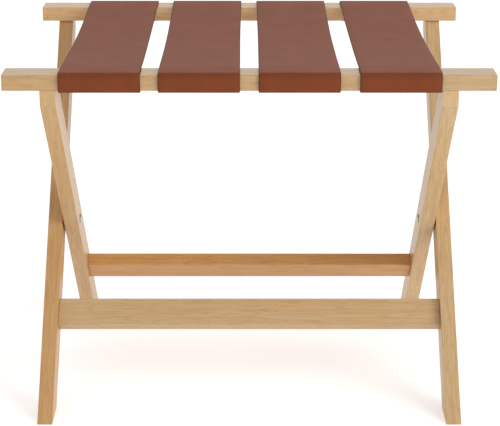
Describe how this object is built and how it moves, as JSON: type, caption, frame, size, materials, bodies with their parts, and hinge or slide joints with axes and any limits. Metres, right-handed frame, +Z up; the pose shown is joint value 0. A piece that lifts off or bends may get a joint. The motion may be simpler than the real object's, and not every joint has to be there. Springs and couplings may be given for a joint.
{
  "type": "luggage rack",
  "caption": "Folding hotel luggage rack: two crossed beech frames on a pivot carry wide brown leather straps between their top rails.",
  "frame": {"origin": "on the floor, under the middle of the rack", "axes": "+X along the rails, to the right seen from the front; +Y to the back; +Z up"},
  "size_m": [0.64, 0.4904, 0.5027],
  "materials": {
    "beech": "light beech, planed and clear varnished to a satin, fine straight grain along each bar",
    "dowel_beech": "raw beech dowel, hidden in the joints",
    "strap_leather": "chestnut brown leather, fine grain, smooth with a soft sheen",
    "pivot_steel": "zinc plated steel",
    "spacer_nylon": "dark moulded nylon washer",
    "tack_brass": "antique brass upholstery tack"
  },
  "bodies": {
    "outer_frame": {"rear_rail": "beech", "outer_leg_left": "beech", "outer_leg_right": "beech", "front_stretcher": "beech", "rear_rail_dowel_left_1": "dowel_beech", "rear_rail_dowel_left_2": "dowel_beech", "rear_rail_dowel_right_1": "dowel_beech", "rear_rail_dowel_right_2": "dowel_beech", "front_stretcher_dowel_left_1": "dowel_beech", "front_stretcher_dowel_left_2": "dowel_beech", "front_stretcher_dowel_right_1": "dowel_beech", "front_stretcher_dowel_right_2": "dowel_beech", "rear_tack_1_left": "tack_brass", "rear_tack_1_right": "tack_brass", "rear_tack_2_left": "tack_brass", "rear_tack_2_right": "tack_brass", "rear_tack_3_left": "tack_brass", "rear_tack_3_right": "tack_brass", "rear_tack_4_left": "tack_brass", "rear_tack_4_right": "tack_brass", "pivot_bolt_left": "pivot_steel", "pivot_bolt_right": "pivot_steel", "pivot_sleeve_left": "pivot_steel", "pivot_sleeve_right": "pivot_steel", "pivot_spacer_left": "spacer_nylon", "pivot_spacer_right": "spacer_nylon", "strap_1": "strap_leather", "strap_2": "strap_leather", "strap_3": "strap_leather", "strap_4": "strap_leather"},
    "inner_frame": {"front_rail": "beech", "inner_leg_left": "beech", "inner_leg_right": "beech", "rear_stretcher": "beech", "front_rail_dowel_left_1": "dowel_beech", "front_rail_dowel_left_2": "dowel_beech", "front_rail_dowel_right_1": "dowel_beech", "front_rail_dowel_right_2": "dowel_beech", "rear_stretcher_dowel_left_1": "dowel_beech", "rear_stretcher_dowel_left_2": "dowel_beech", "rear_stretcher_dowel_right_1": "dowel_beech", "rear_stretcher_dowel_right_2": "dowel_beech", "front_tack_1_left": "tack_brass", "front_tack_1_right": "tack_brass", "front_tack_2_left": "tack_brass", "front_tack_2_right": "tack_brass", "front_tack_3_left": "tack_brass", "front_tack_3_right": "tack_brass", "front_tack_4_left": "tack_brass", "front_tack_4_right": "tack_brass"}
  },
  "joints": [
    {"name": "fold", "type": "hinge", "parent": "outer_frame", "child": "inner_frame", "pos_m": [0, 0, 0.224], "axis": [-1, 0, 0], "range_deg": [0, 71], "deforming": ["strap_1", "strap_2", "strap_3", "strap_4"]}
  ]
}
